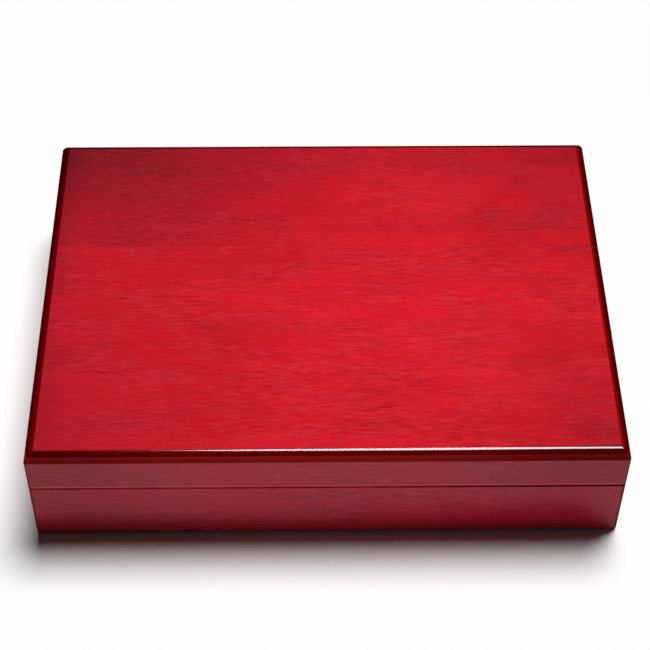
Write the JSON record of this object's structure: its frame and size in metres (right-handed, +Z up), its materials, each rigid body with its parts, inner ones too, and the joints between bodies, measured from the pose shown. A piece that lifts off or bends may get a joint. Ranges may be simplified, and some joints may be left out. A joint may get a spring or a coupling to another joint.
{
  "type": "humidor",
  "caption": "Flat lacquered wooden humidor with a hinged rounded-edge lid, cedar lining with a sealing lip, quadrant hinges, hygrometer, magnetic humidifier and loose divider.",
  "frame": {"origin": "centre of the felt underside, on the table", "axes": "X to the right seen from the front, Y from the front to the hinged back, Z up"},
  "size_m": [0.254, 0.1943, 0.055],
  "materials": {
    "lacquer": "red stained figured veneer under polished gloss lacquer",
    "cedar": "unfinished Spanish cedar, sanded",
    "board": "raw fibreboard",
    "felt": "black felt",
    "hinge_brass": "polished brass",
    "gauge_brass": "polished brass",
    "coil": "bare metal strip",
    "dial": "white printed card",
    "lens": "clear",
    "needle": "satin black",
    "keeper": "zinc plated",
    "magnet": "nickel plated",
    "foam": "open-cell foam",
    "black_plastic": "fine matte texture"
  },
  "bodies": {
    "base": {"base_front_wall": "lacquer", "base_back_wall": "lacquer", "base_left_wall": "lacquer", "base_right_wall": "lacquer", "base_floor_panel": "board", "base_felt_pad": "felt", "base_lining_front": "cedar", "base_lining_back": "cedar", "base_lining_left": "cedar", "base_lining_right": "cedar", "base_lining_floor": "cedar", "hinge_base_leaf_left": "hinge_brass", "hinge_base_leaf_right": "hinge_brass", "hinge_pin_left": "hinge_brass", "hinge_pin_right": "hinge_brass", "hinge_base_screws": "hinge_brass"},
    "lid": {"lid_front_wall": "lacquer", "lid_back_wall": "lacquer", "lid_left_wall": "lacquer", "lid_right_wall": "lacquer", "lid_top_panel": "lacquer", "lid_lining_front": "cedar", "lid_lining_back": "cedar", "lid_lining_left": "cedar", "lid_lining_right": "cedar", "lid_lining_top": "cedar", "hinge_lid_leaf_left": "hinge_brass", "hinge_lid_leaf_right": "hinge_brass", "hinge_lid_screws": "hinge_brass", "hygrometer_case": "gauge_brass", "hygrometer_coil": "coil", "hygrometer_dial": "dial", "hygrometer_lens": "lens", "hygrometer_bezel": "gauge_brass", "humidifier_keepers": "keeper"},
    "stay_left": {"hinge_arm_left": "hinge_brass"},
    "stay_right": {"hinge_arm_right": "hinge_brass"},
    "needle": {"hygrometer_needle": "needle", "hygrometer_spindle": "gauge_brass"},
    "humidifier": {"humidifier_tray": "black_plastic", "humidifier_magnets": "magnet", "humidifier_foam": "foam", "humidifier_grille": "black_plastic"},
    "divider": {"divider": "cedar"}
  },
  "joints": [
    {"name": "lid_hinge", "type": "hinge", "parent": "base", "child": "lid", "pos_m": [0, 0.0965, 0.03335], "axis": [-1, 0, 0], "range_deg": [0, 95]},
    {"name": "stay_left_swing", "type": "hinge", "parent": "base", "child": "stay_left", "pos_m": [0, 0.0965, 0.03335], "axis": [-1, 0, 0], "range_deg": [0, 47.5]},
    {"name": "stay_right_swing", "type": "hinge", "parent": "base", "child": "stay_right", "pos_m": [0, 0.0965, 0.03335], "axis": [-1, 0, 0], "range_deg": [0, 47.5]},
    {"name": "needle_turn", "type": "hinge", "parent": "lid", "child": "needle", "pos_m": [-0.064, 0, 0.047], "axis": [0, 0, 1], "range_deg": [-189, 81]},
    {"name": "humidifier_pull", "type": "slide", "parent": "lid", "child": "humidifier", "axis": [0, 0, -1], "range_m": [0, 0.016]},
    {"name": "divider_slide", "type": "slide", "parent": "base", "child": "divider", "axis": [1, 0, 0], "range_m": [-0.0811, 0.1398]}
  ],
  "couplings": [
    {"joint": "stay_left_swing", "follows": "lid_hinge", "ratio": 0.5},
    {"joint": "stay_right_swing", "follows": "lid_hinge", "ratio": 0.5}
  ]
}
